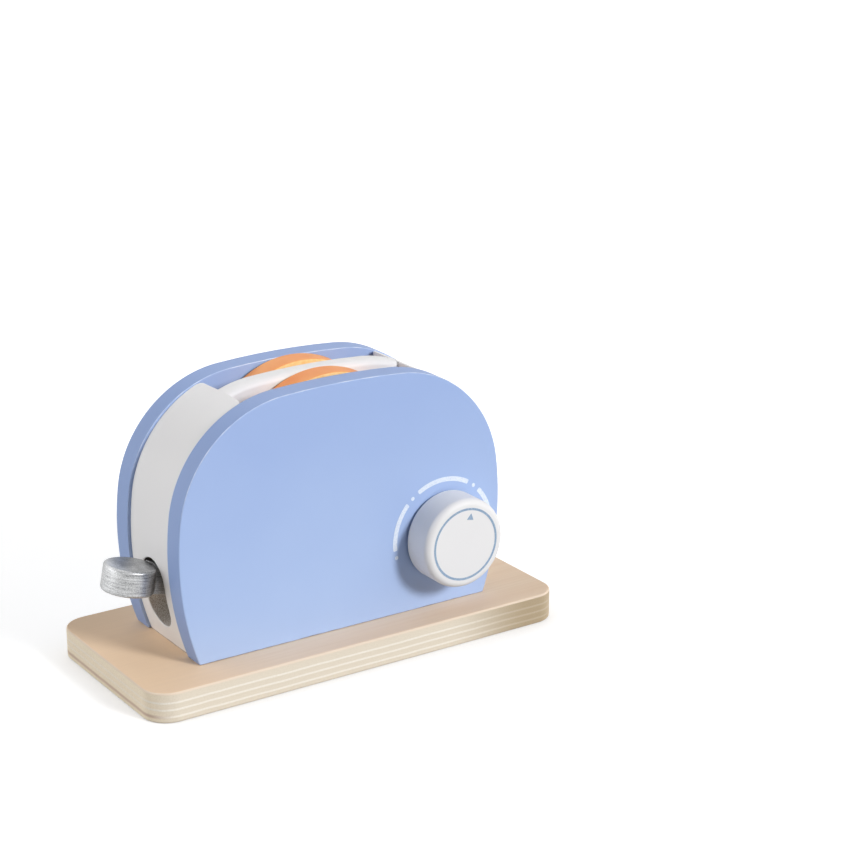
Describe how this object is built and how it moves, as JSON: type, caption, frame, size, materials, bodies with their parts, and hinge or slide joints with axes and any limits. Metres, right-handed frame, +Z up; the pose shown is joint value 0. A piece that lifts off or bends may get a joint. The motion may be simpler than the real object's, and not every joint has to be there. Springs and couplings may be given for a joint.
{
  "type": "toy toaster",
  "caption": "Arched wooden toy toaster on a plywood base, with a see-saw side lever that lifts slices of toast out of its slots and a turning front dial.",
  "frame": {"origin": "middle of the base board's underside", "axes": "+Z up, +X to the right along the base board, the front with the dial faces -Y and the lever is at -X"},
  "size_m": [0.22, 0.1, 0.1355],
  "materials": {
    "birch_plywood": "bare, sanded",
    "blue_paint": "satin paint",
    "white_paint": "satin paint",
    "silver_paint": "metallic paint",
    "beech": "bare",
    "toast_paint": "satin paint",
    "screw_steel": "zinc plated",
    "felt": "pressed felt"
  },
  "bodies": {
    "body": {"base_board": "birch_plywood", "base_screws": "screw_steel", "front_panel": "blue_paint", "rear_panel": "blue_paint", "centre_divider": "white_paint", "front_left_block": "white_paint", "rear_left_block": "white_paint", "front_right_block": "white_paint", "rear_right_block": "white_paint", "core_dowels": "beech", "pivot_dowel": "beech", "pivot_spacers": "beech", "dial_washer": "felt"},
    "lever": {"lever_arm": "silver_paint", "lever_knob": "silver_paint", "knob_dowel": "beech", "toast_rest": "beech", "rest_screw": "screw_steel"},
    "dial": {"dial_knob": "white_paint", "dial_peg": "beech"},
    "front_toast": {"front_toast": "toast_paint"},
    "rear_toast": {"rear_toast": "toast_paint"}
  },
  "joints": [
    {"name": "lever_pivot", "type": "hinge", "parent": "body", "child": "lever", "pos_m": [-0.054, 0, 0.0423], "axis": [0, -1, 0], "range_deg": [0, 25]},
    {"name": "front_toast_lift", "type": "slide", "parent": "body", "child": "front_toast", "axis": [0, 0, 1], "range_m": [0, 0.0238]},
    {"name": "rear_toast_lift", "type": "slide", "parent": "body", "child": "rear_toast", "axis": [0, 0, 1], "range_m": [0, 0.0238]},
    {"name": "dial_turn", "type": "hinge", "parent": "body", "child": "dial", "pos_m": [0.0549, -0.04, 0.0498], "axis": [0, -1, 0], "continuous": true}
  ],
  "couplings": [
    {"joint": "front_toast_lift", "follows": "lever_pivot", "m_per_rad": 0.0545},
    {"joint": "rear_toast_lift", "follows": "lever_pivot", "m_per_rad": 0.0545}
  ]
}
